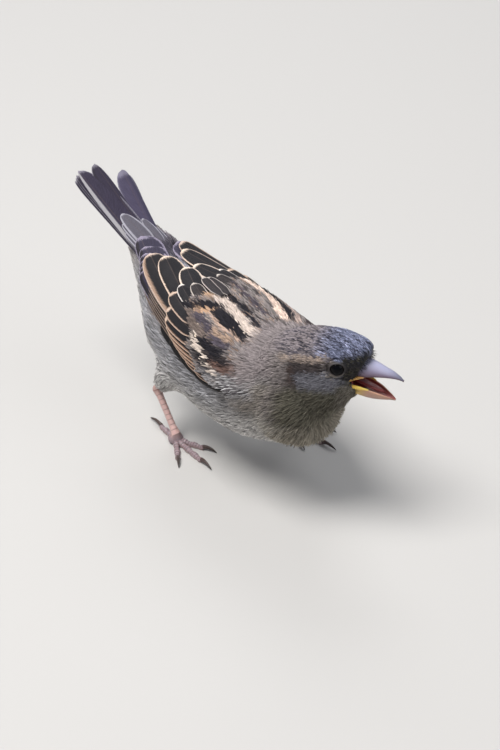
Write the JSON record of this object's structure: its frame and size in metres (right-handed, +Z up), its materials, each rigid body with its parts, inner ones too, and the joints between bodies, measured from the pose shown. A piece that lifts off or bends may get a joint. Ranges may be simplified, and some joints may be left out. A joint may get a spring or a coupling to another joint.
{
  "type": "house sparrow",
  "caption": "Still, life-size female house sparrow standing on both feet, leaning forward with its tail raised, its head turned and its bill open.",
  "frame": {"origin": "centre of the bounding box in plan, at the level of the soles", "axes": "+Z up; the bird faces -Y, its right side is toward -X and its tail toward +Y"},
  "size_m": [0.0484, 0.1262, 0.0681],
  "materials": {
    "plumage_brown": "soft matt feathers, grey-brown on the head, streaked brown, buff and black on the wings",
    "plumage_grey": "soft matt feathers, pale grey below and streaked brown above",
    "flight_feather": "smooth dark slate-brown vanes with thin pale edges",
    "bill_horn": "satin horn, lilac-grey with a darker tip",
    "bill_pale": "satin pale horn, yellow toward the corner of the mouth",
    "mouth_red": "moist dark red flesh",
    "eye_black": "very glossy, near black brown",
    "leg_skin": "satin scaled skin, pinkish brown",
    "claw_horn": "satin dark horn"
  },
  "bodies": {
    "root": {"head": "plumage_brown", "neck": "plumage_brown", "wing_left": "plumage_brown", "wing_right": "plumage_brown", "trunk": "plumage_grey", "thigh_left": "plumage_grey", "thigh_right": "plumage_grey", "primaries_left": "flight_feather", "primaries_right": "flight_feather", "tail_left": "flight_feather", "tail_right": "flight_feather", "bill_upper": "bill_horn", "bill_lower": "bill_pale", "tongue": "mouth_red", "eye_left": "eye_black", "eye_right": "eye_black", "tarsus_left": "leg_skin", "tarsus_right": "leg_skin", "toe_hind_left": "leg_skin", "toe_inner_left": "leg_skin", "toe_middle_left": "leg_skin", "toe_outer_left": "leg_skin", "toe_hind_right": "leg_skin", "toe_inner_right": "leg_skin", "toe_middle_right": "leg_skin", "toe_outer_right": "leg_skin", "claw_hind_left": "claw_horn", "claw_inner_left": "claw_horn", "claw_middle_left": "claw_horn", "claw_outer_left": "claw_horn", "claw_hind_right": "claw_horn", "claw_inner_right": "claw_horn", "claw_middle_right": "claw_horn", "claw_outer_right": "claw_horn"}
  },
  "joints": []
}
